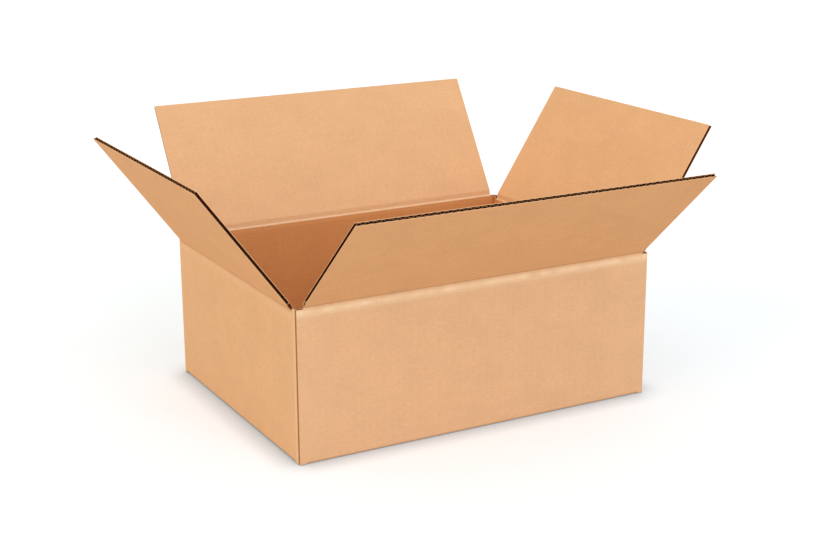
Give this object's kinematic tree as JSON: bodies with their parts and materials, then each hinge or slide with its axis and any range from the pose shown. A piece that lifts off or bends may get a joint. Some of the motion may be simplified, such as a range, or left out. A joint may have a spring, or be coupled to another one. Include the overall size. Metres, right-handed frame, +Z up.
{
  "type": "corrugated box",
  "caption": "Open slotted carton folded from one sheet of corrugated board, with hinged top flaps and a closed, glued base.",
  "frame": {"origin": "middle of the base, on the surface that the carton stands on", "axes": "+Z up, +X along the long walls to the right as seen from the front, +Y from the front wall to the back wall"},
  "size_m": [0.5906, 0.5091, 0.2927],
  "materials": {
    "kraft_wall": "matte",
    "kraft_flap": "matte"
  },
  "bodies": {
    "carton": {"carton_body": "kraft_wall"},
    "front_flap": {"front_flap": "kraft_flap"},
    "back_flap": {"back_flap": "kraft_flap"},
    "left_flap": {"left_flap": "kraft_flap"},
    "right_flap": {"right_flap": "kraft_flap"}
  },
  "joints": [
    {"name": "front_fold", "type": "hinge", "parent": "carton", "child": "front_flap", "pos_m": [0, -0.1562, 0.16], "axis": [1, 0, 0], "range_deg": [-137.3, 122.7]},
    {"name": "back_fold", "type": "hinge", "parent": "carton", "child": "back_flap", "pos_m": [0, 0.1562, 0.16], "axis": [-1, 0, 0], "range_deg": [-122.4, 137.6]},
    {"name": "left_fold", "type": "hinge", "parent": "carton", "child": "left_flap", "pos_m": [-0.207, 0, 0.1559], "axis": [0, -1, 0], "range_deg": [-126.7, 133.3]},
    {"name": "right_fold", "type": "hinge", "parent": "carton", "child": "right_flap", "pos_m": [0.207, 0, 0.1559], "axis": [0, 1, 0], "range_deg": [-122.9, 137.1]}
  ]
}
